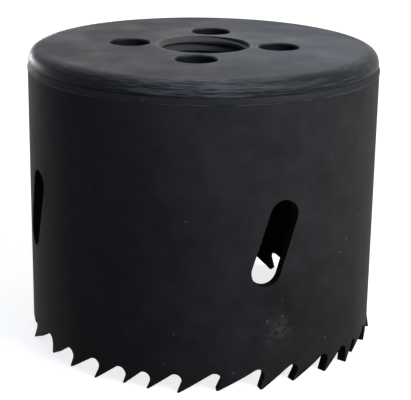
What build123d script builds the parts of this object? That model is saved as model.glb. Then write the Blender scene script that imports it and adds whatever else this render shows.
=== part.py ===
from build123d import *

import os
from itertools import accumulate
from math import asin, atan2, cos, degrees, hypot, isclose, radians, sin, tan

# A bi-metal hole saw that stands on its teeth. Lengths are millimetres and angles are degrees.
# The origin is the centre of the ring of tooth tips, and +Z points up through the cap and its thread.
# An azimuth is measured round the cup from -Y, which is the front, towards +X.

# The cup
shell_diameter = 59.5
wall = 1.5
overall_height = 50.0

# The end cap
cap_thickness = 6.35
cap_rim_depth = 2.85
cap_rim_inset = 0.15
shoulder_width = 1.2
shoulder_radius = 2.9
spigot_clearance = 0.05
spigot_chamfer = 0.5

# The 5/8-18 thread for the arbor, left smooth at its minor diameter, with a mouth at each end
thread_major_diameter = 15.875
thread_depth = 0.6875
mouth_half_angle = 40.0

# The holes for the arbor's drive pins, with a web of metal between them and the thread's mouth
pin_count = 4
pin_hole_diameter = 6.8
pin_web = 0.9625
pin_azimuth = -5.5
pin_edge_chamfer = 0.4

# The weld that joins the cap to the wall, in a groove that both are bevelled for
groove_depth = 0.65
cap_bevel_height = 0.5
shell_bevel_height = 0.9
bead_rise = 0.05
bead_lap = 0.35

# The slots for prising out a plug
slot_count = 4
slot_width = 4.9
slot_length = 14.3
slot_tilt = 17.5
slot_height = 24.2
slot_azimuth = 22.7

# The teeth: one run of pitches along the outer face fills half the ring, and the second run
# starts again from its fifth pitch. The sets repeat: 1 leans out, -1 leans in, 0 is straight.
tooth_pitches = (5.8, 7.55, 6.25, 5.85, 5.0, 4.3, 5.05, 6.2, 7.0, 6.25, 6.55, 5.25, 4.05, 5.6, 6.05, 6.75)
second_run_start = 4
tooth_sets = (-1, 1, -1, 0, 1, -1, 0, 1)
first_tip_azimuth = -83.0
tooth_set = 0.4
tip_land = 0.35
hook_angle = 22.0
gullet_depth = 3.1
gullet_depth_gain = 0.2
gullet_radius = 1.1
back_blend_share = 0.18
bend_margin = 0.3

# Cutters reach this far past the faces they cut
cutter_reach = 2.0

shell_radius = shell_diameter / 2
shell_inner_radius = shell_radius - wall
cap_radius = shell_radius - cap_rim_inset
groove_root_radius = shell_radius - groove_depth
joint_height = overall_height - cap_rim_depth
thread_major_radius = thread_major_diameter / 2
thread_minor_radius = thread_major_radius - thread_depth
pin_circle_radius = thread_major_radius + pin_web + pin_edge_chamfer + pin_hole_diameter / 2


def radial_plane(azimuth, radius):
    """A plane that faces outwards at an azimuth: its x runs round the cup and its y runs up."""
    a = radians(azimuth)
    outward = Vector(sin(a), -cos(a), 0)
    return Plane(origin=outward * radius, x_dir=(cos(a), sin(a), 0), z_dir=outward)


def wall_cutter(azimuth, profile):
    """A profile pushed straight through the wall at an azimuth."""
    start = shell_inner_radius - cutter_reach
    return extrude(radial_plane(azimuth, start) * profile, wall + 2 * cutter_reach)


def ring(section_points):
    """A ring turned about Z from the corners of its half section."""
    return revolve(Plane.XZ * make_face(Polyline(*section_points, close=True)), Axis.Z)


def ring_pitches():
    """The pitch angles of the whole ring of teeth, scaled so that the ring closes."""
    second_run = tooth_pitches[second_run_start:] + tooth_pitches[:second_run_start]
    lengths = tooth_pitches + second_run
    return [360 * length / sum(lengths) for length in lengths]


def gap_outline(pitch_angle):
    """The outline of the gap between two teeth, and how far round its highest point is.

    The gap rises up the back of the tooth on the left, rounds into the gullet and comes down
    the hooked face of the tooth on the right.
    """
    pitch = radians(pitch_angle) * shell_radius
    mean_pitch = radians(360 / len(ring_pitches())) * shell_radius
    depth = gullet_depth + gullet_depth_gain * (pitch - mean_pitch)
    half_gap = shell_radius * sin(radians(pitch_angle / 2)) - tip_land / 2
    hook = radians(hook_angle)
    apex = half_gap + ((depth - gullet_radius) * sin(hook) - gullet_radius) / cos(hook)

    blend_radius = back_blend_share * pitch
    run = apex + half_gap
    rise = depth - blend_radius
    back_angle = atan2(rise, run) + asin(blend_radius / hypot(run, rise))
    back_end = (apex - blend_radius * sin(back_angle), rise + blend_radius * cos(back_angle))

    back = Line((-half_gap, 0), back_end)
    blend = JernArc(back_end, back % 1, blend_radius, -degrees(back_angle))
    gullet = JernArc(blend @ 1, (1, 0), gullet_radius, -(90 + hook_angle))
    face = Line(gullet @ 1, (half_gap, 0))
    below = Polyline((half_gap, 0), (half_gap, -cutter_reach), (-half_gap, -cutter_reach), (-half_gap, 0))
    outline = make_face([*back.edges(), *blend.edges(), *gullet.edges(), *face.edges(), *below.edges()])
    return outline, depth, degrees(asin(apex / shell_radius))


def tooth_band(start_azimuth, end_azimuth, lean, bend_height):
    """The stretch of wall below the bend that one tooth is cut from, leaning by its set."""
    shift = lean * tooth_set
    section = make_face(
        Polyline(
            (shell_inner_radius, bend_height),
            (shell_radius, bend_height),
            (shell_radius + shift, 0),
            (shell_inner_radius + shift, 0),
            close=True,
        )
    )
    start = Rot(0, 0, start_azimuth - 90) * (Plane.XZ * section)
    return revolve(start, Axis.Z, end_azimuth - start_azimuth)


def build_teeth_and_wall():
    """The wall and its ring of teeth, with every gap cut through."""
    pitches = ring_pitches()
    tips = [first_tip_azimuth + turned for turned in accumulate(pitches, initial=0)][: len(pitches)]
    gaps = [gap_outline(pitch) for pitch in pitches]
    bend_height = min(depth for _, depth, _ in gaps) - bend_margin

    cutters = []
    gap_azimuths = []
    for tip, pitch, (outline, _, apex_angle) in zip(tips, pitches, gaps):
        cutters.append(wall_cutter(tip + pitch / 2, outline))
        gap_azimuths.append(tip + pitch / 2 + apex_angle)

    bevel_start = joint_height - shell_bevel_height
    tube = ring(
        [
            (shell_inner_radius, bend_height),
            (shell_radius, bend_height),
            (shell_radius, bevel_start),
            (groove_root_radius, joint_height),
            (shell_inner_radius, joint_height),
        ]
    )
    teeth = []
    for index, gap_azimuth in enumerate(gap_azimuths):
        before = gap_azimuths[index - 1]
        if index == 0:
            before -= 360
        lean = tooth_sets[index % len(tooth_sets)]
        band = tooth_band(before, gap_azimuth, lean, bend_height)
        teeth.append(band - cutters[index - 1] - cutters[index])
    return (tube - cutters) + teeth


def slot_cutters():
    """The slanted slots, spread evenly round the wall."""
    outline = Pos(0, slot_height) * Rot(0, 0, 90 - slot_tilt) * SlotOverall(slot_length, slot_width)
    return [wall_cutter(slot_azimuth + 360 * n / slot_count, outline) for n in range(slot_count)]


def build_shell():
    """The rolled wall with its slots and its ring of set, hooked teeth."""
    return build_teeth_and_wall() - slot_cutters()


def build_cap():
    """The end cap: a rounded rim that sits on the wall and a spigot that fits inside it."""
    spigot_radius = shell_inner_radius - spigot_clearance
    bottom = overall_height - cap_thickness
    mouth_depth = thread_depth / tan(radians(mouth_half_angle))
    face_edge = (cap_radius - shoulder_width, overall_height)
    rim_foot = (cap_radius, joint_height + cap_bevel_height)
    shoulder = RadiusArc(face_edge, rim_foot, shoulder_radius)
    outline = Polyline(
        rim_foot,
        (groove_root_radius, joint_height),
        (spigot_radius, joint_height),
        (spigot_radius, bottom + spigot_chamfer),
        (spigot_radius - spigot_chamfer, bottom),
        (thread_major_radius, bottom),
        (thread_minor_radius, bottom + mouth_depth),
        (thread_minor_radius, overall_height - mouth_depth),
        (thread_major_radius, overall_height),
        face_edge,
    )
    section = make_face([*shoulder.edges(), *outline.edges()])
    cap = revolve(Plane.XZ * section, Axis.Z)
    hole = Cylinder(pin_hole_diameter / 2, cap_thickness + 2 * cutter_reach)
    middle = overall_height - cap_thickness / 2
    for n in range(pin_count):
        turn = Rot(0, 0, pin_azimuth - 90 + 360 * n / pin_count)
        cap -= turn * Pos(pin_circle_radius, 0, middle) * hole
    top = cap.faces().sort_by(Axis.Z)[-1]
    rims = top.edges().filter_by(GeomType.CIRCLE)
    pin_rims = rims.filter_by(lambda rim: isclose(rim.radius, pin_hole_diameter / 2))
    return chamfer(pin_rims, pin_edge_chamfer)


def build_weld_bead():
    """The ring of weld that fills the groove between cap and wall and stands a little proud."""
    root = (groove_root_radius, joint_height)
    foot = (shell_radius, joint_height - shell_bevel_height)
    lap = (cap_radius - groove_root_radius) * bead_lap / cap_bevel_height
    head = (groove_root_radius + lap, joint_height + bead_lap)
    crown = (shell_radius + bead_rise, joint_height - shell_bevel_height / 2)
    return ring([root, foot, crown, head])


os.makedirs("parts", exist_ok=True)
export_step(build_shell(), "parts/shell.step")
export_step(build_cap(), "parts/cap.step")
export_step(build_weld_bead(), "parts/weld_bead.step")
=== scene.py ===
"""A bi-metal hole saw in a black coating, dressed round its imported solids.

Lengths in the dataclasses are millimetres, as on a drawing, and MM turns them into metres. Only the lamps
and the floor are in metres. Azimuths are degrees round the saw from -Y, which is the front, towards +X.
"""

import logging
from dataclasses import dataclass, field
from enum import Enum
from functools import reduce
from itertools import accumulate, pairwise
from math import asin, atan2, ceil, cos, degrees, hypot, pi, radians, sin, tan
from typing import Any, Callable, Sequence

import bpy
from mathutils import Matrix, Vector


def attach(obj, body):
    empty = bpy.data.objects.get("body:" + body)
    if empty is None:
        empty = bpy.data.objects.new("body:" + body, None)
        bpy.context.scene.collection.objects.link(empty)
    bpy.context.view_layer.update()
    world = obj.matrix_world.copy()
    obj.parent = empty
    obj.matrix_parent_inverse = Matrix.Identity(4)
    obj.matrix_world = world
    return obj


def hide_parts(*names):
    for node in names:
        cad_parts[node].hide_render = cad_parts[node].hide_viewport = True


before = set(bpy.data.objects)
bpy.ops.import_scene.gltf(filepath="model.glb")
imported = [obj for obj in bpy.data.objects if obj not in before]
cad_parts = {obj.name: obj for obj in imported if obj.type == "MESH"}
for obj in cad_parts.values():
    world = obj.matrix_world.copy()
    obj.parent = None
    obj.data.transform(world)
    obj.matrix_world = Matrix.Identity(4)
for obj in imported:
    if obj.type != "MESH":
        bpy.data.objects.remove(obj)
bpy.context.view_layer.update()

MM = 0.001
INCH = 25.4
# Cutters run this far past what they cut, in millimetres
CUTTER_REACH = 2.0
log = logging.getLogger("hole_saw")

Point = tuple[float, float]
Colour = tuple[float, float, float, float]


# Measures that the pieces share


@dataclass(frozen=True)
class Cup:
    """The sizes that the cap, the wall and the weld have in common.

    Args:
        diameter: Outside diameter of the wall.
        wall: Thickness of the wall.
        height: Height from the tooth tips to the face of the cap.
        rim_depth: How far the cap's rim reaches down to the joint.
        groove_depth: How deep the weld's groove is.
    """

    diameter: float = 59.5
    wall: float = 1.5
    height: float = 50.0
    rim_depth: float = 2.85
    groove_depth: float = 0.65

    @property
    def radius(self) -> float:
        """The outside radius of the wall."""
        return self.diameter / 2

    @property
    def inner_radius(self) -> float:
        """The inside radius of the wall."""
        return self.radius - self.wall

    @property
    def joint(self) -> float:
        """The height at which the cap sits on the wall."""
        return self.height - self.rim_depth

    @property
    def groove_root(self) -> float:
        """The radius at the bottom of the weld's groove."""
        return self.radius - self.groove_depth


class Lean(Enum):
    """Which way a tooth is set."""

    IN = -1
    STRAIGHT = 0
    OUT = 1


# Modelling with Blender's own operators


def deselect_all() -> None:
    """Leave object mode with nothing selected."""
    if bpy.context.object and bpy.context.object.mode != "OBJECT":
        bpy.ops.object.mode_set(mode="OBJECT")
    bpy.ops.object.select_all(action="DESELECT")


def activate(piece: bpy.types.Object) -> None:
    """Select one piece and make it the active one.

    Args:
        piece: The piece to work on.
    """
    deselect_all()
    piece.select_set(True)
    bpy.context.view_layer.objects.active = piece


def settle(piece: bpy.types.Object) -> None:
    """Move a piece's place, turn and scale into its mesh.

    Args:
        piece: The piece, which then sits at the origin.
    """
    activate(piece)
    bpy.ops.object.transform_apply(location=True, rotation=True, scale=True)


def edit_all(piece: bpy.types.Object) -> None:
    """Go into edit mode with the whole mesh selected.

    Args:
        piece: The piece to edit.
    """
    activate(piece)
    bpy.ops.object.mode_set(mode="EDIT")
    bpy.ops.mesh.select_all(action="SELECT")


def edit_rims(piece: bpy.types.Object) -> None:
    """Go into edit mode with only the edges round open holes selected.

    Args:
        piece: The piece to close.
    """
    edit_all(piece)
    bpy.ops.mesh.select_all(action="DESELECT")
    bpy.ops.mesh.select_mode(type="EDGE")
    bpy.ops.mesh.select_non_manifold()


def face_outwards() -> None:
    """Turn all faces of the piece in edit mode outwards, and leave edit mode."""
    bpy.ops.mesh.select_all(action="SELECT")
    bpy.ops.mesh.normals_make_consistent(inside=False)
    bpy.ops.object.mode_set(mode="OBJECT")


def weld_doubles(piece: bpy.types.Object, distance: float) -> None:
    """Merge vertices that lie on one another and turn all faces outwards.

    Args:
        piece: The piece to close.
        distance: The largest gap to close, in millimetres.
    """
    edit_all(piece)
    bpy.ops.mesh.remove_doubles(threshold=distance * MM)
    face_outwards()


def modify(piece: bpy.types.Object, kind: str, **settings: Any) -> None:
    """Add a modifier to a piece and apply it.

    Args:
        piece: The piece that it changes.
        kind: Blender's name for the modifier.
        settings: The modifier's properties.
    """
    activate(piece)
    modifier = piece.modifiers.new(kind.title(), kind)
    for name, value in settings.items():
        setattr(modifier, name, value)
    bpy.ops.object.modifier_apply(modifier=modifier.name)


def cut(piece: bpy.types.Object, cutter: bpy.types.Object) -> None:
    """Cut one closed mesh out of another, and take the cutter away.

    Args:
        piece: The piece that loses material.
        cutter: The closed mesh that is taken out of it.
    """
    modify(piece, "BOOLEAN", operation="DIFFERENCE", solver="EXACT", object=cutter)
    bpy.data.objects.remove(cutter)


def join(pieces: Sequence[bpy.types.Object]) -> bpy.types.Object:
    """Join several meshes into the first of them.

    Args:
        pieces: The meshes to join.

    Returns:
        The joined mesh.
    """
    activate(pieces[0])
    for piece in pieces:
        piece.select_set(True)
    bpy.ops.object.join()
    return pieces[0]


def smooth(piece: bpy.types.Object, angle: float) -> None:
    """Shade a piece smooth but for edges that turn by more than an angle, and keep its large faces flat.

    Args:
        piece: The piece to shade.
        angle: The largest turn that still looks smooth, in degrees.
    """
    activate(piece)
    bpy.ops.object.shade_smooth_by_angle(angle=radians(angle), keep_sharp_edges=False)
    modify(piece, "WEIGHTED_NORMAL", mode="FACE_AREA", keep_sharp=True)


def turned(name: str, section: Sequence[Point], steps: int, closed: bool = True) -> bpy.types.Object:
    """Turn a half section about Z, from one ring that is extruded to each corner in order.

    Args:
        name: The new object's name.
        section: The radius and height of each corner.
        steps: How many sides the rings have.
        closed: Whether the section ends where it began.

    Returns:
        The turned piece.
    """
    (radius, height), *others = section
    deselect_all()
    bpy.ops.mesh.primitive_circle_add(vertices=steps, radius=radius * MM, location=(0, 0, height * MM))
    piece = bpy.context.object
    piece.name = name
    settle(piece)
    edit_all(piece)
    corners = [*others, section[0]] if closed else others
    for next_radius, next_height in corners:
        rise = (next_height - height) * MM
        bpy.ops.mesh.extrude_edges_move(TRANSFORM_OT_translate={"value": (0, 0, rise)})
        ratio = next_radius / radius
        bpy.ops.transform.resize(value=(ratio, ratio, 1), center_override=(0, 0, next_height * MM))
        radius, height = next_radius, next_height
    bpy.ops.object.mode_set(mode="OBJECT")
    if closed:
        weld_doubles(piece, distance=0.0005)
    return piece


def radially(azimuth: float, radius: float, height: float) -> Vector:
    """A place round the saw.

    Args:
        azimuth: Its direction, in degrees.
        radius: Its distance from the axis, in millimetres.
        height: Its height, in millimetres.

    Returns:
        The place, in metres.
    """
    turn = radians(azimuth)
    return Vector((radius * sin(turn), -radius * cos(turn), height)) * MM


def spread(count: int, first: float) -> list[float]:
    """Azimuths spread evenly round the saw.

    Args:
        count: How many there are.
        first: The first of them, in degrees.

    Returns:
        The azimuths, in degrees.
    """
    return [first + 360 * number / count for number in range(count)]


def arc(centre: Point, radius: float, start: float, end: float, steps: int) -> list[Point]:
    """Points along an arc.

    Args:
        centre: The arc's centre.
        radius: The arc's radius.
        start: The angle of the first point, in degrees.
        end: The angle of the last point, in degrees.
        steps: How many chords the arc has.

    Returns:
        The points, first and last included.
    """
    angles = (radians(start + (end - start) * step / steps) for step in range(steps + 1))
    return [(centre[0] + radius * cos(angle), centre[1] + radius * sin(angle)) for angle in angles]


def curve(start: Vector, pull: Vector, end: Vector, steps: int) -> list[Point]:
    """Points along a smooth curve that leaves towards a point and arrives from it.

    Args:
        start: Where the curve starts.
        pull: The point that it bends towards.
        end: Where it ends.
        steps: How many chords it has.

    Returns:
        The points, first and last included.
    """
    shares = (step / steps for step in range(steps + 1))
    return [tuple(start * (1 - s) ** 2 + pull * 2 * s * (1 - s) + end * s**2) for s in shares]


def sketch(name: str, corners: Sequence[tuple[float, float, float]], filled: bool) -> bpy.types.Object:
    """A new piece that holds one outline.

    Args:
        name: The new object's name.
        corners: The outline's corners in order, in millimetres.
        filled: Whether it is one face, instead of an open line.

    Returns:
        The sketch.
    """
    order = range(len(corners))
    edges, faces = ([], [order]) if filled else (list(pairwise(order)), [])
    mesh = bpy.data.meshes.new(name)
    mesh.from_pydata([tuple(value * MM for value in corner) for corner in corners], edges, faces)
    piece = bpy.data.objects.new(name, mesh)
    bpy.context.scene.collection.objects.link(piece)
    return piece


def prism(name: str, outline: Sequence[Point], near: float, far: float) -> bpy.types.Object:
    """A closed prism along Y from an outline in X and Z.

    Args:
        name: The new object's name.
        outline: The outline's corners in order.
        near: Where it starts on Y.
        far: Where it ends on Y.

    Returns:
        The prism.
    """
    piece = sketch(name, [(x, near, z) for x, z in outline], filled=True)
    edit_all(piece)
    bpy.ops.mesh.extrude_region_move(TRANSFORM_OT_translate={"value": (0, (far - near) * MM, 0)})
    face_outwards()
    return piece


# The rolled wall with its slots and teeth


@dataclass(frozen=True)
class Slot:
    """A slanted slot for prising out a plug.

    Args:
        count: How many there are round the wall.
        width: Across the slot.
        length: From end to end.
        tilt: Lean of the slot from upright, in degrees.
        height: Height of its middle.
        azimuth: Where the first one is.
        end_steps: Chords in each round end.
    """

    count: int = 4
    width: float = 4.9
    length: float = 14.3
    tilt: float = 17.5
    height: float = 24.2
    azimuth: float = 22.7
    end_steps: int = 24

    def outline(self) -> list[Point]:
        """The slot's outline: X from its own middle, and Z from the tooth tips."""
        reach = (self.length - self.width) / 2
        lean = radians(self.tilt)
        ends = []
        for side in (1, -1):
            centre = (side * reach * sin(lean), self.height + side * reach * cos(lean))
            start = -self.tilt if side == 1 else 180 - self.tilt
            ends += arc(centre, self.width / 2, start, start + 180, self.end_steps)
        return ends


@dataclass(frozen=True)
class Teeth:
    """The ring of hooked, set teeth of uneven pitch.

    Args:
        pitches: One run of pitches along the outside, which fills half the ring.
        second_run_start: Which pitch the other half starts from.
        leans: The order in which the teeth are set.
        first_tip: Azimuth of the first tooth's tip.
        set_out: How far a set tooth leans at its tip.
        land: Width of the flat at a tip.
        hook: How far a tooth's face leans forward, in degrees.
        depth: Depth of a gullet of mean pitch.
        depth_gain: How much deeper a gullet is for each millimetre of extra pitch.
        gullet_radius: The round at a gullet's bottom.
        back_blend: Radius of the bend in a tooth's back, as a share of its pitch.
        bend_margin: How far below the shallowest gullet the teeth bend.
        arc_steps: Chords in each arc of a gap.
    """

    pitches: tuple[float, ...] = (
        5.8, 7.55, 6.25, 5.85, 5.0, 4.3, 5.05, 6.2, 7.0, 6.25, 6.55, 5.25, 4.05, 5.6, 6.05, 6.75,
    )
    second_run_start: int = 4
    leans: tuple[Lean, ...] = (
        Lean.IN, Lean.OUT, Lean.IN, Lean.STRAIGHT, Lean.OUT, Lean.IN, Lean.STRAIGHT, Lean.OUT,
    )
    first_tip: float = -83.0
    set_out: float = 0.4
    land: float = 0.35
    hook: float = 22.0
    depth: float = 3.1
    depth_gain: float = 0.2
    gullet_radius: float = 1.1
    back_blend: float = 0.18
    bend_margin: float = 0.3
    arc_steps: int = 9

    def turns(self) -> list[float]:
        """The angle that each pitch takes up, in degrees, scaled so that the ring closes."""
        start = self.second_run_start
        lengths = self.pitches + self.pitches[start:] + self.pitches[:start]
        return [360 * length / sum(lengths) for length in lengths]

    def tips(self) -> list[float]:
        """The azimuth of each tip."""
        return list(accumulate(self.turns()[:-1], initial=self.first_tip))

    def gap_depth(self, turn: float, radius: float) -> float:
        """How deep the gap of one pitch is.

        Args:
            turn: The pitch's angle.
            radius: The wall's outside radius.

        Returns:
            The gap's depth.
        """
        mean = 360 / len(self.turns())
        return self.depth + self.depth_gain * radians(turn - mean) * radius

    def gap(self, turn: float, radius: float) -> tuple[list[Point], float]:
        """The outline of one gap, and where its highest point is.

        Args:
            turn: The pitch's angle.
            radius: The wall's outside radius.

        Returns:
            The outline's points about the middle of the gap, and how far along its highest point is.
        """
        depth = self.gap_depth(turn, radius)
        half_gap = radius * sin(radians(turn / 2)) - self.land / 2
        hook = radians(self.hook)
        apex = half_gap + ((depth - self.gullet_radius) * sin(hook) - self.gullet_radius) / cos(hook)
        blend = self.back_blend * radians(turn) * radius
        run, rise = apex + half_gap, depth - blend
        back = atan2(rise, run) + asin(blend / hypot(run, rise))
        outline = [(half_gap, -CUTTER_REACH), (-half_gap, -CUTTER_REACH), (-half_gap, 0.0)]
        outline += arc((apex, rise), blend, 90 + degrees(back), 90, self.arc_steps)
        centre = (apex, depth - self.gullet_radius)
        outline += arc(centre, self.gullet_radius, 90, -self.hook, 2 * self.arc_steps)[1:]
        outline.append((half_gap, 0.0))
        return outline, apex

    def apexes(self, radius: float) -> list[float]:
        """The azimuth of each gap's highest point.

        Args:
            radius: The wall's outside radius.

        Returns:
            An azimuth for each gap, in order.
        """
        gaps = zip(self.tips(), self.turns())
        return [tip + turn / 2 + degrees(asin(self.gap(turn, radius)[1] / radius)) for tip, turn in gaps]


@dataclass
class Wall:
    """The wall: a flat strip with its teeth and slots cut, its teeth set and its length rolled up.

    Args:
        cup: The shared sizes.
        teeth: The ring of teeth.
        slot: The slots.
        bevel_height: Height of the weld groove's bevel.
        edge_round: How far the cut edges are rounded.
        edge_steps: Chords in that round.
        edge_angle: Only edges that turn by more than this are rounded, in degrees.
        sides: How many flats the rolled wall has.
        spare: How far the strip runs past its ends until it is trimmed.
    """

    cup: Cup
    teeth: Teeth = field(default_factory=Teeth)
    slot: Slot = field(default_factory=Slot)
    bevel_height: float = 0.9
    edge_round: float = 0.15
    edge_steps: int = 2
    edge_angle: float = 35.0
    sides: int = 240
    spare: float = 12.0

    @property
    def girth(self) -> float:
        """The length of the strip."""
        return 2 * pi * self.cup.radius

    def along(self, azimuth: float, offset: float = 0.0) -> float:
        """Where a place round the wall is along the flat strip.

        Args:
            azimuth: The place's azimuth.
            offset: How far beside it a point lies, square to the radius.

        Returns:
            The place along the strip.
        """
        return self.cup.radius * (radians(azimuth) + asin(offset / self.cup.radius))

    def build(self) -> bpy.types.Object:
        """Make the wall.

        Returns:
            The rolled wall.
        """
        strip = self.strip()
        cut(strip, self.cutters())
        modify(
            strip, "BEVEL", width=self.edge_round * MM, segments=self.edge_steps, limit_method="ANGLE",
            angle_limit=radians(self.edge_angle),
        )
        self.set_teeth(strip)
        self.roll(strip)
        smooth(strip, angle=30)
        return strip

    def strip(self) -> bpy.types.Object:
        """The flat strip with its top edge bevelled for the weld."""
        cup = self.cup
        deselect_all()
        size = ((self.girth + 2 * self.spare) * MM, cup.wall * MM, cup.joint * MM)
        middle = (0, cup.wall / 2 * MM, cup.joint / 2 * MM)
        bpy.ops.mesh.primitive_cube_add(size=1, location=middle, scale=size)
        strip = bpy.context.object
        strip.name = "shell_wall"
        settle(strip)
        edit_all(strip)
        bevel_foot = (0, 0, (cup.joint - self.bevel_height) * MM)
        outwards = (0, -self.bevel_height, cup.groove_depth)
        bpy.ops.mesh.bisect(plane_co=bevel_foot, plane_no=outwards, clear_outer=True, use_fill=True)
        bpy.ops.object.mode_set(mode="OBJECT")
        return strip

    def wrapped(self, place: float) -> list[float]:
        """A place along the strip, with its copies one girth away that still reach the spare ends."""
        reach = self.girth / 2 + self.spare
        copies = (place + self.girth * turn for turn in (-1, 0, 1))
        return [copy for copy in copies if abs(copy) < reach]

    def cutters(self) -> bpy.types.Object:
        """Prisms for every gap between teeth and every slot, joined into one cutter."""
        teeth, slot, radius = self.teeth, self.slot, self.cup.radius
        gaps = zip(teeth.tips(), teeth.turns())
        shapes = [("gap", tip + turn / 2, teeth.gap(turn, radius)[0]) for tip, turn in gaps]
        shapes += [("slot", azimuth, slot.outline()) for azimuth in spread(slot.count, slot.azimuth)]
        prisms = []
        for name, azimuth, outline in shapes:
            for middle in self.wrapped(self.along(azimuth)):
                flat = [(middle + self.along(0, x), z) for x, z in outline]
                prisms.append(prism(name, flat, -CUTTER_REACH, self.cup.wall + CUTTER_REACH))
        return join(prisms)

    def set_teeth(self, strip: bpy.types.Object) -> None:
        """Lean each tooth by its set, from a bend just under the shallowest gullet.

        Args:
            strip: The flat strip with its teeth cut.
        """
        teeth, radius = self.teeth, self.cup.radius
        bend = min(teeth.gap_depth(turn, radius) for turn in teeth.turns()) - teeth.bend_margin
        edit_all(strip)
        bpy.ops.mesh.bisect(plane_co=(0, 0, bend * MM), plane_no=(0, 0, 1))
        bpy.ops.object.mode_set(mode="OBJECT")
        apexes = teeth.apexes(radius)
        groups = {lean: strip.vertex_groups.new(name=lean.name) for lean in Lean}
        for vertex in strip.data.vertices:
            height = vertex.co.z / MM
            if height >= bend:
                continue
            azimuth = degrees(vertex.co.x / MM / radius)
            tooth = sum(apex < teeth.first_tip + (azimuth - teeth.first_tip) % 360 for apex in apexes)
            lean = teeth.leans[tooth % len(teeth.leans)]
            groups[lean].add([vertex.index], 1 - height / bend, "REPLACE")
        for lean in (Lean.IN, Lean.OUT):
            modify(
                strip, "DISPLACE", direction="Y", mid_level=0.0,
                strength=-lean.value * teeth.set_out * MM, vertex_group=lean.name,
            )

    def roll(self, strip: bpy.types.Object) -> None:
        """Trim the strip to its girth, divide it evenly and roll it up with the cut edge closed.

        Args:
            strip: The flat strip with its teeth set.
        """
        half = self.girth / 2 * MM
        for side in (-1, 1):
            edit_all(strip)
            bpy.ops.mesh.bisect(plane_co=(side * half, 0, 0), plane_no=(side, 0, 0), clear_outer=True)
        for number in range(1, self.sides):
            bpy.ops.mesh.select_all(action="SELECT")
            place = -half + 2 * half * number / self.sides
            bpy.ops.mesh.bisect(plane_co=(place, 0, 0), plane_no=(1, 0, 0))
        bpy.ops.object.mode_set(mode="OBJECT")
        modify(strip, "SIMPLE_DEFORM", deform_method="BEND", deform_axis="Z", angle=2 * pi)
        strip.location = (0, -self.cup.radius * MM, 0)
        settle(strip)
        weld_doubles(strip, distance=0.004)


# The end cap with its thread and pin holes


@dataclass(frozen=True)
class Thread:
    """A 5/8-18 thread for the arbor.

    Args:
        major_diameter: Across the thread's roots.
        depth: Depth of the thread.
        turns_per_inch: How many turns there are in an inch.
        mouth_half_angle: Half the angle of the mouths, in degrees.
        flank_angle: How far each flank leans from square to the axis, in degrees.
        root_flat: Width of the flat at the bottom of the groove, as a share of the pitch.
        core_margin: How far inside the hole's wall the cutter's core is.
        root_margin: How far the cutter stays short of the roots.
        lead_in: Turns of the cutter below the hole.
        lead_out: Turns of the cutter above it.
        steps: Sides in one turn.
    """

    major_diameter: float = 15.875
    depth: float = 0.6875
    turns_per_inch: float = 18.0
    mouth_half_angle: float = 40.0
    flank_angle: float = 30.0
    root_flat: float = 0.14
    core_margin: float = 0.04
    root_margin: float = 0.01
    lead_in: float = 2.5
    lead_out: int = 2
    steps: int = 96

    @property
    def major_radius(self) -> float:
        """The radius at the thread's roots."""
        return self.major_diameter / 2

    @property
    def minor_radius(self) -> float:
        """The radius at the thread's crests."""
        return self.major_radius - self.depth

    @property
    def pitch(self) -> float:
        """From one turn to the next."""
        return INCH / self.turns_per_inch

    def tap(self, low: float, high: float) -> bpy.types.Object:
        """A closed screw that cuts the thread.

        Args:
            low: Height of the hole's lower end.
            high: Height of the hole's upper end.

        Returns:
            The cutter, which runs past both ends.
        """
        core = self.minor_radius - self.core_margin
        root = self.major_radius - self.root_margin
        flat = self.root_flat * self.pitch
        flank = (root - core) * tan(radians(self.flank_angle))
        start = low - self.lead_in * self.pitch
        profile = [
            (core, start),
            (core, start + self.pitch - flat - 2 * flank),
            (root, start + self.pitch - flat - flank),
            (root, start + self.pitch - flank),
            (core, start + self.pitch),
        ]
        tap = sketch("tap", [(radius, 0, height) for radius, height in profile], filled=False)
        turns = ceil((high - start) / self.pitch) + self.lead_out
        modify(
            tap, "SCREW", axis="Z", angle=2 * pi, screw_offset=self.pitch * MM, iterations=turns,
            steps=self.steps, render_steps=self.steps, use_merge_vertices=True, merge_threshold=1e-6,
        )
        weld_doubles(tap, distance=0.001)
        edit_rims(tap)
        bpy.ops.mesh.edge_face_add()
        bpy.ops.mesh.select_all(action="SELECT")
        bpy.ops.mesh.quads_convert_to_tris()
        face_outwards()
        return tap


@dataclass(frozen=True)
class PinHoles:
    """The holes for the arbor's drive pins.

    Args:
        count: How many there are.
        diameter: Across a hole.
        circle_radius: Radius of the circle that they stand on.
        azimuth: Where the first one is.
        rim_round: The round at each rim.
        rim_steps: Chords in that round.
        rim_lift: How far above the face the round ends.
        steps: Sides of a hole.
    """

    count: int = 4
    diameter: float = 6.8
    circle_radius: float = 12.7
    azimuth: float = -5.5
    rim_round: float = 0.4
    rim_steps: int = 8
    rim_lift: float = 0.01
    steps: int = 72


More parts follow.
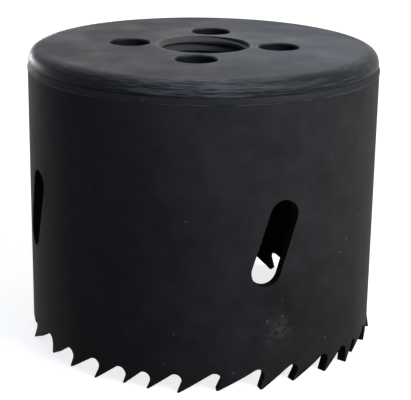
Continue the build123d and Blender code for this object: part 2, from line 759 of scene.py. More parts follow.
@dataclass
class EndCap:
    """The thick round plate that closes the cup.

    Args:
        cup: The shared sizes.
        thread: The thread in its middle.
        pins: The drive pin holes.
        thickness: Thickness of the plate.
        rim_inset: How far its rim lies inside the wall's outside.
        shoulder_width: How wide the rounded shoulder is.
        shoulder_radius: The shoulder's radius.
        ease: How far down the shoulder's arc its upper edge is eased.
        ease_lead: How many times as far the easing reaches over the face.
        arc_steps: Chords in the shoulder's arc, and as many in its eased edge.
        bevel_height: Height of the bevel for the weld.
        spigot_clearance: Gap between the spigot and the wall.
        spigot_chamfer: Chamfer at the spigot's lower edge.
        sides: How many sides its rings have.
    """

    cup: Cup
    thread: Thread = field(default_factory=Thread)
    pins: PinHoles = field(default_factory=PinHoles)
    thickness: float = 6.35
    rim_inset: float = 0.15
    shoulder_width: float = 1.2
    shoulder_radius: float = 2.9
    ease: float = 1.3
    ease_lead: float = 1.6
    arc_steps: int = 10
    bevel_height: float = 0.5
    spigot_clearance: float = 0.05
    spigot_chamfer: float = 0.5
    sides: int = 240

    @property
    def rim_radius(self) -> float:
        """The radius of the rim."""
        return self.cup.radius - self.rim_inset

    def shoulder(self) -> list[Point]:
        """The eased edge of the face and the shoulder's arc, down to the foot of the rim."""
        rim = self.rim_radius
        start = Vector((rim - self.shoulder_width, self.cup.height))
        end = Vector((rim, self.cup.joint + self.bevel_height))
        chord = end - start
        half = asin(chord.length / 2 / self.shoulder_radius)
        inwards = Vector((chord.y, -chord.x)).normalized()
        centre = (start + end) / 2 + inwards * self.shoulder_radius * cos(half)
        first = atan2(start.y - centre.y, start.x - centre.x)
        eased = first - self.ease / self.shoulder_radius
        end_angle = degrees(first - 2 * half)
        rounded = arc(tuple(centre), self.shoulder_radius, degrees(eased), end_angle, self.arc_steps)
        arrival = Vector(rounded[0])
        corner = Vector((arrival.x - (start.y - arrival.y) / tan(pi / 2 - eased), start.y))
        leave = corner - Vector(((arrival - corner).length * self.ease_lead, 0))
        return curve(leave, corner, arrival, self.arc_steps)[:-1] + rounded

    def section(self) -> list[Point]:
        """The plate's half section, from the lower mouth up the bore and round."""
        cup, thread = self.cup, self.thread
        bottom = cup.height - self.thickness
        mouth = thread.depth / tan(radians(thread.mouth_half_angle))
        spigot = cup.inner_radius - self.spigot_clearance
        return [
            (thread.major_radius, bottom),
            (thread.minor_radius, bottom + mouth),
            (thread.minor_radius, cup.height - mouth),
            (thread.major_radius, cup.height),
            *self.shoulder(),
            (cup.groove_root, cup.joint),
            (spigot, cup.joint),
            (spigot, bottom + self.spigot_chamfer),
            (spigot - self.spigot_chamfer, bottom),
        ]

    def pin_cutter(self) -> bpy.types.Object:
        """A cutter for all the pin holes, each with a rounded rim."""
        pins, top = self.pins, self.cup.height
        radius, rim = pins.diameter / 2, pins.rim_round
        trumpet = arc((radius + rim, top - rim + pins.rim_lift), rim, 180, 90, pins.rim_steps)
        low, high = top - self.thickness - CUTTER_REACH, top + CUTTER_REACH
        section = [(radius, low), *trumpet, (radius + rim, high)]
        cutters = []
        for azimuth in spread(pins.count, pins.azimuth):
            cutter = turned("pin_cutter", section, pins.steps, closed=False)
            edit_rims(cutter)
            bpy.ops.mesh.fill_holes(sides=0)
            face_outwards()
            cutter.location = radially(azimuth, pins.circle_radius, 0)
            settle(cutter)
            cutters.append(cutter)
        return join(cutters)

    def build(self) -> bpy.types.Object:
        """Make the cap.

        Returns:
            The cap with its thread and pin holes.
        """
        cap = turned("end_cap", self.section(), self.sides)
        cut(cap, self.pin_cutter())
        cut(cap, self.thread.tap(self.cup.height - self.thickness, self.cup.height))
        smooth(cap, angle=28)
        return cap


# The weld between them


@dataclass
class WeldBead:
    """The thin uneven ring of weld in the joint.

    Args:
        cup: The shared sizes.
        foot: How far below the joint the bead's foot is.
        lap: How far above the joint its head is.
        head_inset: How far inside the wall's outside its head is.
        rise: How far it stands proud.
        waver: How much its surface wavers.
        waver_size: About how long each swell is.
        ripple_share: How much finer ripples lift it, as a share of that.
        ripple_size: About how long each ripple is.
        root_margin: How far outside the groove's root it starts to waver.
        spatter_azimuth: Where a drop of spatter sits.
        spatter_height: How high it sits.
        spatter_radius: The drop's radius.
        spatter_rise: How far the drop stands out.
        sides: How many sides its ring has.
        crown_steps: Chords across its crown.
    """

    cup: Cup
    foot: float = 0.9
    lap: float = 0.35
    head_inset: float = 0.3
    rise: float = 0.05
    waver: float = 0.07
    waver_size: float = 2.6
    ripple_share: float = 0.45
    ripple_size: float = 0.7
    root_margin: float = 0.05
    spatter_azimuth: float = -18.4
    spatter_height: float = 46.85
    spatter_radius: float = 0.55
    spatter_rise: float = 0.22
    sides: int = 720
    crown_steps: int = 8

    def section(self) -> list[Point]:
        """The bead's half section, with a rounded crown."""
        cup = self.cup
        foot = Vector((cup.radius, cup.joint - self.foot))
        crown = Vector((cup.radius + self.rise, cup.joint - self.foot / 2))
        head = Vector((cup.radius - self.head_inset, cup.joint + self.lap))
        pull = crown * 2 - (foot + head) / 2
        return [(cup.groove_root, cup.joint), *curve(foot, pull, head, self.crown_steps)]

    def build(self) -> bpy.types.Object:
        """Make the bead.

        Returns:
            The uneven ring.
        """
        bead = turned("weld_ridge", self.section(), self.sides)
        outside = bead.vertex_groups.new(name="outside")
        hidden = (self.cup.groove_root + self.root_margin) * MM
        shown = [vertex.index for vertex in bead.data.vertices if hypot(vertex.co.x, vertex.co.y) > hidden]
        outside.add(shown, 1.0, "REPLACE")
        swells = (("waver", self.waver_size, 1.0), ("ripple", self.ripple_size, self.ripple_share))
        for name, size, share in swells:
            texture = bpy.data.textures.new(name, "CLOUDS")
            texture.noise_scale = size * MM
            modify(
                bead, "DISPLACE", texture=texture, texture_coords="LOCAL", direction="NORMAL", mid_level=0.5,
                strength=self.waver * share * MM, vertex_group=outside.name,
            )
        self.spatter(bead)
        smooth(bead, angle=60)
        return bead

    def spatter(self, bead: bpy.types.Object) -> None:
        """Raise the drop of spatter out of the bead.

        Args:
            bead: The uneven ring.
        """
        drop = bead.vertex_groups.new(name="drop")
        place = radially(self.spatter_azimuth, self.cup.radius, self.spatter_height)
        for vertex in bead.data.vertices:
            nearness = 1 - (vertex.co - place).length / (self.spatter_radius * MM)
            if nearness > 0:
                drop.add([vertex.index], nearness ** 0.5, "REPLACE")
        modify(
            bead, "DISPLACE", direction="NORMAL", mid_level=0.0, strength=self.spatter_rise * MM,
            vertex_group=drop.name,
        )


# Shaders, written as expressions on sockets


@dataclass(frozen=True)
class Cloud:
    """A cloudy pattern.

    Args:
        size: About how large its blotches are.
        detail: How many finer layers it has.
        roughness: How strongly the finer layers show.
        squeeze: How many times it is squeezed along each axis. Below 1 draws it out.
    """

    size: float
    detail: float = 2.0
    roughness: float = 0.5
    squeeze: tuple[float, float, float] | None = None


@dataclass(frozen=True)
class Spot:
    """A round spot that fades out.

    Args:
        azimuth: Its direction round the saw.
        core: How far out it is whole.
        reach: How far out it ends.
    """

    azimuth: float
    core: float
    reach: float


class Wire:
    """An output socket that takes part in shader maths."""

    def __init__(self, graph: "Graph", socket: bpy.types.NodeSocket) -> None:
        """Wrap an output socket of a graph."""
        self.graph = graph
        self.socket = socket

    def _math(self, operation: str, *values: Any) -> "Wire":
        """Add a Math node with this operation."""
        return self.graph.node("Math", {"operation": operation}, dict(enumerate(values)))

    def __add__(self, other: Any) -> "Wire":
        """Add."""
        return self._math("ADD", self, other)

    def __sub__(self, other: Any) -> "Wire":
        """Subtract."""
        return self._math("SUBTRACT", self, other)

    def __rsub__(self, other: Any) -> "Wire":
        """Subtract from a number."""
        return self._math("SUBTRACT", other, self)

    def __mul__(self, other: Any) -> "Wire":
        """Multiply."""
        return self._math("MULTIPLY", self, other)

    __radd__ = __add__
    __rmul__ = __mul__

    def least(self, other: Any) -> "Wire":
        """The smaller of two."""
        return self._math("MINIMUM", self, other)

    def band(self, middle: float, half_width: float) -> "Wire":
        """1 at a value, falling smoothly to 0 on both sides."""
        return self._math("ABSOLUTE", self - middle).step(half_width, 0.0)

    def step(self, low: float, high: float) -> "Wire":
        """A smooth rise from 0 at low to 1 at high, or a fall where low is above high."""
        settings = {"interpolation_type": "SMOOTHSTEP"}
        if low < high:
            return self.graph.node("MapRange", settings, {0: self, 1: low, 2: high, 3: 0.0, 4: 1.0})
        return self.graph.node("MapRange", settings, {0: self, 1: high, 2: low, 3: 1.0, 4: 0.0})


class Graph:
    """The node tree of one material, with its principled shader."""

    def __init__(self, name: str) -> None:
        """Start an empty material of that name."""
        self.material = bpy.data.materials.new(name)
        self.material.use_nodes = True
        self.tree = self.material.node_tree
        self.shader = self.tree.nodes["Principled BSDF"]
        self.place = self.node("TexCoord", {}, {}, "Object")

    def node(self, kind: str, settings: dict[str, Any], inputs: dict[Any, Any], output: Any = 0) -> Wire:
        """Add a node.

        Args:
            kind: The node's type, without its prefix.
            settings: Its properties, which are set first.
            inputs: Values or wires for its input sockets, by name or number.
            output: The output socket to hand back, by name or number.

        Returns:
            That output.
        """
        made = self.tree.nodes.new("ShaderNode" + kind)
        for name, value in settings.items():
            setattr(made, name, value)
        for name, value in inputs.items():
            if isinstance(value, Wire):
                self.tree.links.new(value.socket, made.inputs[name])
            else:
                made.inputs[name].default_value = value
        return Wire(self, made.outputs[output])

    def noise(self, cloud: Cloud) -> Wire:
        """A cloudy pattern, from 0 to 1."""
        place = self.place
        if cloud.squeeze:
            place = self.node("Mapping", {}, {"Vector": place, "Scale": cloud.squeeze})
        inputs = {"Vector": place, "Scale": 1 / (cloud.size * MM)}
        inputs |= {"Detail": cloud.detail, "Roughness": cloud.roughness}
        return self.node("TexNoise", {}, inputs, "Fac")

    def cells(self, size: float) -> Wire:
        """Distance to the nearest of scattered points about one size apart, as a share of it."""
        return self.node("TexVoronoi", {}, {"Vector": self.place, "Scale": 1 / (size * MM)}, "Distance")

    def blend(self, share: Any, first: Any, second: Any) -> Wire:
        """A colour between two, by a share."""
        return self.node("Mix", {"data_type": "RGBA"}, {0: share, 6: first, 7: second}, 2)

    def axis(self, name: str) -> Wire:
        """One of the object's coordinates, in metres."""
        return self.node("SeparateXYZ", {}, {0: self.place}, name)

    def flat(self) -> Wire:
        """The object's coordinates with no height."""
        return self.node("VectorMath", {"operation": "MULTIPLY"}, {0: self.place, 1: (1.0, 1.0, 0.0)})

    def radius(self) -> Wire:
        """Distance from the saw's axis, in metres."""
        return self.node("VectorMath", {"operation": "LENGTH"}, {0: self.flat()}, "Value")

    def outward(self) -> Wire:
        """How squarely the surface faces away from the saw's axis, from -1 to 1."""
        away = self.node("VectorMath", {"operation": "NORMALIZE"}, {0: self.flat()})
        facing = self.node("TexCoord", {}, {}, "Normal")
        return self.node("VectorMath", {"operation": "DOT_PRODUCT"}, {0: away, 1: facing}, "Value")

    def distance(self, fixed: Vector, place: Wire) -> Wire:
        """Distance of a place from a fixed one, in metres."""
        return self.node("VectorMath", {"operation": "DISTANCE"}, {0: place, 1: tuple(fixed)}, "Value")

    def spot(self, spot: Spot, radius: float, height: float) -> Wire:
        """1 in the core of a spot at a radius and a height, falling to 0 at its reach."""
        middle = radially(spot.azimuth, radius, height)
        return self.distance(middle, self.place).step(spot.reach * MM, spot.core * MM)

    def feed(self, **sockets: Any) -> None:
        """Set or link the shader's own sockets, with spaces as underscores in their names."""
        for name, value in sockets.items():
            socket = self.shader.inputs[name.replace("_", " ")]
            if isinstance(value, Wire):
                self.tree.links.new(value.socket, socket)
            else:
                socket.default_value = value

    def emboss(self, height: Wire, depth: float) -> None:
        """Bump the surface by a height from 0 to 1.

        Args:
            height: The height.
            depth: What a height of 1 stands for, in millimetres.
        """
        bump = self.node("Bump", {}, {"Strength": 1.0, "Distance": depth * MM, "Height": height}, "Normal")
        self.tree.links.new(bump.socket, self.shader.inputs["Normal"])


def grey(value: float, warmth: float = 0.0) -> Colour:
    """A near-neutral colour, whose green gives way by a quarter of its tint.

    Args:
        value: Its level.
        warmth: Above 0 leans to red and below 0 to blue, as a share.

    Returns:
        The colour.
    """
    return (value * (1 + warmth), value * (1 - abs(warmth) / 4), value * (1 - warmth), 1.0)


@dataclass(frozen=True)
class WallCoat:
    """Matte black coating of the wall, dusty in clouds, with painted shade on its inside and its cut edges.

    Args:
        cup: The shared sizes.
        clean: The coating's colour where it is clean.
        dusty: Its colour where it is dusty.
        speck: The colour of single specks.
        rub: The colour where it is rubbed.
        edge: The colour of painted shade on faces that turn away from the axis: the wall's inside and its
            cut edges.
        paling_foot: The height from which the coating grows paler upwards.
        speck_size: How far apart the specks lie.
        rub_spot: Where it is rubbed.
        rub_height: How high up that is.
        roughness: Its roughness.
        gloss: How strongly it reflects.
        relief: How high its grain stands.
        cloud: The clouds of dust.
        mottle: Smaller blotches in them.
        drawn: Fine lines up the wall.
        rolled: Fine lines round it.
        strewn: Where the specks lie.
        fleck: Blotches in the rubbed patch.
        fine_fleck: Finer ones in those.
        grain: The coating's grain.
        dimple: Shallow dents under it.
    """

    cup: Cup
    clean: Colour = grey(0.0105, -0.04)
    dusty: Colour = grey(0.0255, -0.04)
    speck: Colour = grey(0.11)
    rub: Colour = grey(0.055)
    edge: Colour = grey(0.004725)
    paling_foot: float = -6.0
    speck_size: float = 2.4
    rub_spot: Spot = Spot(azimuth=24.5, core=0.8, reach=3.6)
    rub_height: float = 9.5
    roughness: float = 0.66
    gloss: float = 0.045
    relief: float = 0.02
    cloud: Cloud = Cloud(12, 4, 0.55)
    mottle: Cloud = Cloud(3.6, 4, 0.62)
    drawn: Cloud = Cloud(1.2, 3, 0.6, (1.0, 1.0, 0.12))
    rolled: Cloud = Cloud(0.9, 3, 0.6, (0.1, 0.1, 1.0))
    strewn: Cloud = Cloud(7)
    fleck: Cloud = Cloud(1.1, 3, 0.6)
    fine_fleck: Cloud = Cloud(0.3, 3, 0.7)
    grain: Cloud = Cloud(0.28, 3, 0.6)
    dimple: Cloud = Cloud(1.6)

    def material(self) -> bpy.types.Material:
        """Make the material."""
        graph = Graph("wall_coat")
        cloud, grain = graph.noise(self.cloud), graph.noise(self.grain)
        # Painted shade: faces that turn away from the axis, inside the wall and on the cut edges, are
        # darkened.
        edge = graph.outward().step(0.85, 0.35)
        colour = graph.blend(self.dust(graph, cloud), self.clean, self.dusty)
        colour = graph.blend(self.specks(graph) * 0.8, colour, self.speck)
        colour = graph.blend(self.rubbed(graph) * 0.8, colour, self.rub)
        colour = graph.blend(edge, colour, self.edge)
        rough = self.roughness + (cloud - 0.5) * 0.16 + (grain - 0.5) * 0.1 + edge * 0.25
        graph.feed(Base_Color=colour, Roughness=rough, Specular_IOR_Level=self.gloss)
        graph.emboss(grain * 0.7 + graph.noise(self.dimple) * 0.6, self.relief)
        return graph.material

    def dust(self, graph: Graph, cloud: Wire) -> Wire:
        """How pale it is: paler higher up, and dusty in clouds and along faint lines."""
        height = graph.axis("Z").step(self.paling_foot * MM, self.cup.height * MM)
        mottle = graph.noise(self.mottle)
        lines = graph.noise(self.drawn) + graph.noise(self.rolled)
        return height * 0.75 + (cloud - 0.5) * 1.4 + (mottle - 0.5) * 1.2 + (lines - 1.0) * 0.2 + 0.06

    def specks(self, graph: Graph) -> Wire:
        """Where single specks lie."""
        return graph.cells(self.speck_size).step(0.085, 0.04) * graph.noise(self.strewn).step(0.5, 0.58)

    def rubbed(self, graph: Graph) -> Wire:
        """How rubbed it is, in flecks round one spot."""
        fleck = graph.noise(self.fleck).step(0.4, 0.6)
        fine = graph.noise(self.fine_fleck).step(0.42, 0.62)
        return graph.spot(self.rub_spot, self.cup.radius, self.rub_height) * (fleck * (fine * 0.6 + 0.4))


@dataclass(frozen=True)
class CapCoat:
    """Satin black coating of the cap, streaked on its shoulder, with painted sheen, highlights and shade.

    Args:
        cap: The cap that it covers.
        face: The colour of the face.
        film_and_sheen: Its colour where dust lies on the face, and where painted sheen lightens one side of
            it.
        band: The colour of the shoulder.
        streak: The colour of its paler streaks.
        shoulder_highlight: The colour of the painted highlight on the shoulder.
        dust: The colour of specks on the face.
        tapped: The colour of the thread.
        hole_shade: Painted shade inside the pin holes.
        wear_and_highlight: The colour of the paler rims, partly wear and partly painted highlight.
        sheen_spot: Where the painted sheen lies.
        sheen_radius: How far out its middle is.
        shoulder_start: How far inside the rim the shoulder's colour starts.
        shoulder_whole: How far inside the rim it is whole.
        shoulder_highlight_spot: Where the painted highlight lies on the shoulder.
        shoulder_highlight_drop: How far below the face that is.
        dust_spot: Where the specks lie.
        dust_radius: How far out their middle is.
        dust_size: How far apart they are.
        mouth_fade: How far past the thread its colour fades out.
        hole_shade_fade: How far past a pin hole the painted shade fades out.
        mouth_band: How far past the thread the middle of its paler rim is, and half that rim's width.
        hole_band: The same for the pin holes.
        wear_start: How far below the face the wear starts.
        wear_whole: How far below the face it is whole.
        roughness: Its roughness.
        gloss: How strongly it reflects.
        relief: How high its grain and its streaks stand.
        cloud: Clouds of dust on the face.
        smear: Smaller blotches in it.
        streaks: The streaks round the shoulder.
        wear: Where the paler rims break off.
        grain: The coating's grain.
    """

    cap: EndCap
    face: Colour = grey(0.008, -0.3)
    film_and_sheen: Colour = grey(0.05, -0.2)
    band: Colour = grey(0.0102, -0.15)
    streak: Colour = grey(0.0442, -0.12)
    shoulder_highlight: Colour = grey(0.085, -0.05)
    dust: Colour = grey(0.22)
    tapped: Colour = grey(0.045)
    hole_shade: Colour = grey(0.008, -0.1)
    wear_and_highlight: Colour = grey(0.1)
    sheen_spot: Spot = Spot(azimuth=92.0, core=5.0, reach=36.0)
    sheen_radius: float = 18.0
    shoulder_start: float = 3.4
    shoulder_whole: float = 1.4
    shoulder_highlight_spot: Spot = Spot(azimuth=-3.0, core=4.0, reach=16.0)
    shoulder_highlight_drop: float = 1.0
    dust_spot: Spot = Spot(azimuth=49.0, core=2.0, reach=8.0)
    dust_radius: float = 18.4
    dust_size: float = 1.5
    mouth_fade: float = 0.3
    hole_shade_fade: float = 0.25
    mouth_band: Point = (0.2, 0.5)
    hole_band: Point = (0.35, 0.35)
    wear_start: float = 0.6
    wear_whole: float = 0.2
    roughness: float = 0.42
    gloss: float = 0.066
    relief: float = 0.02
    cloud: Cloud = Cloud(8, 4, 0.55)
    smear: Cloud = Cloud(1.8, 3, 0.6)
    streaks: Cloud = Cloud(1, 4, 0.65, (0.2, 0.2, 4.2))
    wear: Cloud = Cloud(2.5, 3, 0.6)
    grain: Cloud = Cloud(0.3, 3, 0.6)

    def material(self) -> bpy.types.Material:
        """Make the material."""
        graph = Graph("cap_coat")
        rim, mouth, pin = self.cap.rim_radius, self.cap.thread.major_radius, self.cap.pins.diameter / 2
        cloud, streaks = graph.noise(self.cloud), graph.noise(self.streaks)
        radius, hole = graph.radius(), self.hole_distance(graph)
        shoulder = radius.step((rim - self.shoulder_start) * MM, (rim - self.shoulder_whole) * MM)
        bore = radius.step((mouth + self.mouth_fade) * MM, mouth * MM)
        # Painted shade darkens the inside of the pin holes.
        hole_shade = hole.step((pin + self.hole_shade_fade) * MM, pin * MM)
        colour = graph.blend(shoulder, self.face_colour(graph, cloud), self.shoulder_colour(graph, streaks))
        colour = graph.blend(self.specks(graph) * 0.8, colour, self.dust)
        colour = graph.blend(bore, colour, self.tapped)
        colour = graph.blend(hole_shade, colour, self.hole_shade)
        colour = graph.blend(self.rims(graph, radius, hole), colour, self.wear_and_highlight)
        rough = self.roughness + (cloud - 0.5) * 0.45 + (streaks - 0.5) * shoulder * 0.3
        graph.feed(Base_Color=colour, Roughness=rough, Specular_IOR_Level=self.gloss)
        graph.emboss(graph.noise(self.grain) * 0.5 + streaks * shoulder * 0.9, self.relief)
        return graph.material

    def face_colour(self, graph: Graph, cloud: Wire) -> Wire:
        """The face's colour, with painted sheen that fades out from one side and clouds of dust in it."""
        # Painted sheen: the face is lighter towards one side, and the clouds and smears in it are dust.
        film_and_sheen = graph.spot(self.sheen_spot, self.sheen_radius, self.cap.cup.height)
        film_and_sheen = film_and_sheen * 0.85 + (cloud - 0.5) * 0.7 + (graph.noise(self.smear) - 0.5) * 0.25
        return graph.blend(film_and_sheen, self.face, self.film_and_sheen)

    def shoulder_colour(self, graph: Graph, streaks: Wire) -> Wire:
        """The shoulder's colour, streaked all round, with a streaky painted highlight at one spot."""
        colour = graph.blend(streaks.step(0.45, 0.72), self.band, self.streak)
        # Painted highlight: the front of the shoulder is lighter in streaks round one spot.
        spot = graph.spot(self.shoulder_highlight_spot, self.cap.rim_radius, self.cap.cup.height - self.shoulder_highlight_drop)
        return graph.blend(spot * streaks.step(0.35, 0.65) * 0.75, colour, self.shoulder_highlight)

    def specks(self, graph: Graph) -> Wire:
        """Where single specks lie on the face."""
        spot = graph.spot(self.dust_spot, self.dust_radius, self.cap.cup.height)
        return graph.cells(self.dust_size).step(0.13, 0.07) * spot

    def hole_distance(self, graph: Graph) -> Wire:
        """Distance to the axis of the nearest pin hole, in metres."""
        pins, flat = self.cap.pins, graph.flat()
        axes = (radially(azimuth, pins.circle_radius, 0) for azimuth in spread(pins.count, pins.azimuth))
        return reduce(Wire.least, (graph.distance(axis, flat) for axis in axes))

    def rims(self, graph: Graph, radius: Wire, hole: Wire) -> Wire:
        """How pale the thread's mouth and the pin holes' rims are, from wear and from painted highlight."""
        top = self.cap.cup.height
        (mouth_out, mouth_half), (hole_out, hole_half) = self.mouth_band, self.hole_band
        mouth = radius.band((self.cap.thread.major_radius + mouth_out) * MM, mouth_half * MM)
        rim = hole.band((self.cap.pins.diameter / 2 + hole_out) * MM, hole_half * MM)
        near_top = graph.axis("Z").step((top - self.wear_start) * MM, (top - self.wear_whole) * MM)
        # The paler rims are partly wear and partly painted highlight.
        return (mouth + rim * 0.7) * near_top * graph.noise(self.wear).step(0.3, 0.6) * 0.7


@dataclass(frozen=True)
class WeldCoat:
    """Coating over the uneven weld, with a painted highlight along a line low on the bead.

    Args:
        bead: The weld that it covers.
        dark: The coating's darker colour.
        pale: Its paler colour.
        ridge_highlight: The colour of the painted highlight.
        ridge_highlight_drop: How far below the joint that line is, as a share of the bead's foot.
        ridge_highlight_half: Half the line's width.
        ridge_highlight_waver: How much its height wavers.
        roughness: The coating's roughness.
        gloss: How strongly it reflects.
        relief: How high its grain stands.
        patch: Blotches of both colours.
        waver: How the line wavers.
        breaks: Where the line breaks off.
        grain: The coating's grain.
    """

    bead: WeldBead
    dark: Colour = grey(0.012, -0.05)
    pale: Colour = grey(0.018, -0.05)
    ridge_highlight: Colour = grey(0.06)
    ridge_highlight_drop: float = 0.78
    ridge_highlight_half: float = 0.13
    ridge_highlight_waver: float = 0.35
    roughness: float = 0.6
    gloss: float = 0.08
    relief: float = 0.02
    patch: Cloud = Cloud(2.2, 4, 0.6)
    waver: Cloud = Cloud(3)
    breaks: Cloud = Cloud(5, 3, 0.6)
    grain: Cloud = Cloud(0.3, 3, 0.6)

    def material(self) -> bpy.types.Material:
        """Make the material."""
        graph = Graph("weld_coat")
        patch = graph.noise(self.patch)
        # Painted highlight: a light, broken line low on the bead, where its raised edge catches the light.
        height = self.bead.cup.joint - self.bead.foot * self.ridge_highlight_drop
        waver = (graph.noise(self.waver) - 0.5) * self.ridge_highlight_waver * MM
        line = (graph.axis("Z") + waver).band(height * MM, self.ridge_highlight_half * MM)
        colour = graph.blend(patch, self.dark, self.pale)
        colour = graph.blend(line * graph.noise(self.breaks).step(0.42, 0.62), colour, self.ridge_highlight)
        rough = self.roughness + (patch - 0.5) * 0.2
        graph.feed(Base_Color=colour, Roughness=rough, Specular_IOR_Level=self.gloss)
        graph.emboss(graph.noise(self.grain), self.relief)
        return graph.material


# The studio


@dataclass(frozen=True)
class Lamp:
    """A soft rectangular lamp that points at the saw.

    Args:
        name: Its name.
        azimuth: Its direction round the saw, in degrees.
        elevation: Its direction above the floor, in degrees.
        distance: How far away it hangs, in metres.
        size: Width and height, in metres.
        level: The level at which it lights a white surface that faces it.
        colour: Its colour.
    """

    name: str
    azimuth: float
    elevation: float
    distance: float
    size: tuple[float, float]
    level: float
    colour: tuple[float, float, float] = (1.0, 1.0, 1.0)

    def hang(self, target: Vector) -> None:
        """Add the lamp and point it.

        Args:
            target: The point that it looks at.
        """
        light = bpy.data.lights.new(self.name, "AREA")
        light.shape = "RECTANGLE"
        light.size, light.size_y = self.size
        light.energy = self.level * (pi * self.distance) ** 2
        light.color = self.colour
        lamp = bpy.data.objects.new(self.name, light)
        elevation = radians(self.elevation)
        lamp.location = target + radially(self.azimuth, cos(elevation), sin(elevation)) * self.distance / MM
        lamp.rotation_euler = (target - lamp.location).to_track_quat("-Z", "Y").to_euler()
        bpy.context.scene.collection.objects.link(lamp)


@dataclass(frozen=True)
class Viewpoint:
    """The photograph's camera. It stands on the -Y side and looks along +Y.

    Args:
        distance: From the saw's axis, in millimetres.
        height: Above the tooth tips, in millimetres.
        pitch: How far it looks down, in radians.
        yaw: How far it looks to the right, in radians.
        roll: How far it leans, in radians.
        focal_pixels: The focal length in pixels of the photograph.
        width_pixels: The photograph's width.
        height_pixels: The photograph's height.
        centre_x: The pixel column that the lens axis meets.
        centre_y: The pixel row that the lens axis meets.
    """

    distance: float = 204.6
    height: float = 88.83
    pitch: float = 0.27715
    yaw: float = 0.00255
    roll: float = 0.0144
    focal_pixels: float = 1221.7
    width_pixels: float = 411.0
    height_pixels: float = 400.0
    centre_x: float = 205.5
    centre_y: float = 154.0

    def place(self) -> None:
        """Add the camera and make it the scene's own."""
        data = bpy.data.cameras.new("viewpoint")
        data.sensor_fit = "HORIZONTAL"
        data.sensor_width = 36.0
        data.lens = self.focal_pixels / self.width_pixels * data.sensor_width
        data.shift_x = (self.width_pixels / 2 - self.centre_x) / self.width_pixels
        data.shift_y = (self.centre_y - self.height_pixels / 2) / self.width_pixels
        data.clip_start, data.clip_end = 0.01, 50.0
        ahead = Vector((sin(self.yaw) * cos(self.pitch), cos(self.yaw) * cos(self.pitch), -sin(self.pitch)))
        right = Vector((cos(self.yaw), -sin(self.yaw), 0))
        up = right.cross(ahead)
        side = right * cos(self.roll) + up * sin(self.roll)
        top = up * cos(self.roll) - right * sin(self.roll)
        camera = bpy.data.objects.new("viewpoint", data)
        turn = Matrix((side, top, -ahead)).transposed().to_4x4()
        camera.matrix_world = Matrix.Translation((0, -self.distance * MM, self.height * MM)) @ turn
        bpy.context.scene.collection.objects.link(camera)
        bpy.context.scene.camera = camera


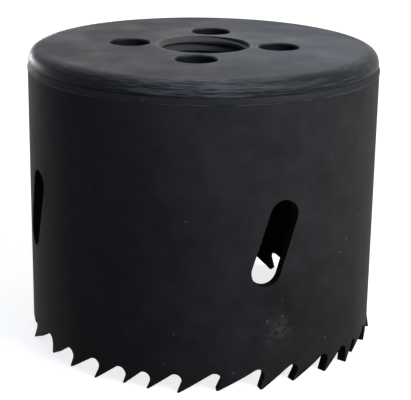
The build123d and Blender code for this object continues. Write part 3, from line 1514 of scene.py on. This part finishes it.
@dataclass
class Studio:
    """The floor, the lamps, the surroundings and the camera.

    Args:
        viewpoint: The camera.
        lamps: The lamps.
        floor_size: The floor's side, in metres.
        floor_tones: The floor's tone on each socket, in stray light and as it is looked at.
        aim_height: The height that the lamps point at, in metres.
        surround: Strength of the light from all round.
    """

    viewpoint: Viewpoint = field(default_factory=Viewpoint)
    lamps: tuple[Lamp, ...] = (
        Lamp("right_softbox", 58, 32, 0.55, (0.3, 0.3), 1.22, (1.0, 1.0, 0.96)),
        Lamp("window", 14, 42, 0.45, (0.25, 0.25), 0.28, (0.35, 0.52, 1.0)),
        Lamp("top_softbox", 160, 74, 0.9, (0.8, 0.6), 0.4),
        Lamp("back_strip", 205, 0, 0.6, (0.5, 0.04), 0.35),
    )
    floor_size: float = 6.0
    floor_tones: tuple[tuple[str, float, float], ...] = (
        ("Base Color", 0.1, 0.4),
        ("Emission Color", 0.0, 0.8),
    )
    aim_height: float = 0.025
    surround: float = 0.03

    def build(self) -> None:
        """Set the studio up."""
        self.surroundings()
        self.floor()
        for lamp in self.lamps:
            lamp.hang(Vector((0, 0, self.aim_height)))
        self.viewpoint.place()
        bpy.context.scene.view_settings.view_transform = "Standard"

    def surroundings(self) -> None:
        """A white backdrop to look at, which lights the saw only dimly."""
        world = bpy.data.worlds.new("surroundings")
        world.use_nodes = True
        bpy.context.scene.world = world
        tree = world.node_tree
        backdrop = tree.nodes["Background"]
        backdrop.inputs["Color"].default_value = (1, 1, 1, 1)
        level = tree.nodes.new("ShaderNodeMapRange")
        level.inputs["To Min"].default_value = self.surround
        level.inputs["To Max"].default_value = 1.0
        tree.links.new(self.looked_at(tree), level.inputs["Value"])
        tree.links.new(level.outputs[0], backdrop.inputs["Strength"])

    def looked_at(self, tree: bpy.types.NodeTree) -> bpy.types.NodeSocket:
        """1 for what the camera sees, also by way of a reflection or through glass, and 0 for stray light.

        Args:
            tree: The node tree that asks.

        Returns:
            The socket with the answer.
        """
        path = tree.nodes.new("ShaderNodeLightPath")
        seen = path.outputs["Is Camera Ray"]
        for kind in ("Is Glossy Ray", "Is Transmission Ray"):
            either = tree.nodes.new("ShaderNodeMath")
            either.operation = "MAXIMUM"
            tree.links.new(seen, either.inputs[0])
            tree.links.new(path.outputs[kind], either.inputs[1])
            seen = either.outputs[0]
        return seen

    def floor(self) -> None:
        """A plain floor at the tooth tips, pale to look at, which throws little light back at the saw."""
        deselect_all()
        bpy.ops.mesh.primitive_plane_add(size=self.floor_size, location=(0, 0, 0))
        floor = bpy.context.object
        floor.name = "studio_floor"
        material = bpy.data.materials.new("pale_floor")
        material.use_nodes = True
        tree = material.node_tree
        shader = tree.nodes["Principled BSDF"]
        seen = self.looked_at(tree)
        for socket, stray, shown in self.floor_tones:
            tone = tree.nodes.new("ShaderNodeMix")
            tone.data_type = "RGBA"
            tone.inputs[6].default_value = (stray, stray, stray, 1)
            tone.inputs[7].default_value = (shown, shown, shown, 1)
            tree.links.new(seen, tone.inputs[0])
            tree.links.new(tone.outputs[2], shader.inputs[socket])
        shader.inputs["Emission Strength"].default_value = 1.0
        shader.inputs["Roughness"].default_value = 0.7
        shader.inputs["Specular IOR Level"].default_value = 0.2
        floor.data.materials.append(material)


def dress(piece: bpy.types.Object, material: bpy.types.Material, node: str) -> None:
    """Give a piece its finish and its place in the frame.

    Args:
        piece: The finished piece.
        material: Its finish.
        node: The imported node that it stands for.
    """
    piece.data.materials.clear()
    piece.data.materials.append(material)
    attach(piece, "root")
    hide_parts(node)


def main() -> None:
    """Build the saw and its studio, and log each piece's face count."""
    logging.basicConfig(level=logging.INFO, format="%(name)s: %(message)s")
    cup = Cup()
    wall, cap, bead = Wall(cup), EndCap(cup), WeldBead(cup)
    pieces: tuple[tuple[Callable[[], bpy.types.Object], bpy.types.Material, str, str], ...] = (
        (wall.build, WallCoat(cup).material(), "shell", "shell_coating"),
        (cap.build, CapCoat(cap).material(), "cap", "cap_coating"),
        (bead.build, WeldCoat(bead).material(), "weld_bead", "weld_coating"),
    )
    for build, material, node, slot in pieces:
        piece = build()
        dress(piece, material, node)
        log.info("%s stands for %s with %d faces", piece.name, node, len(piece.data.polygons))
    Studio().build()


if __name__ == "__main__":
    main()
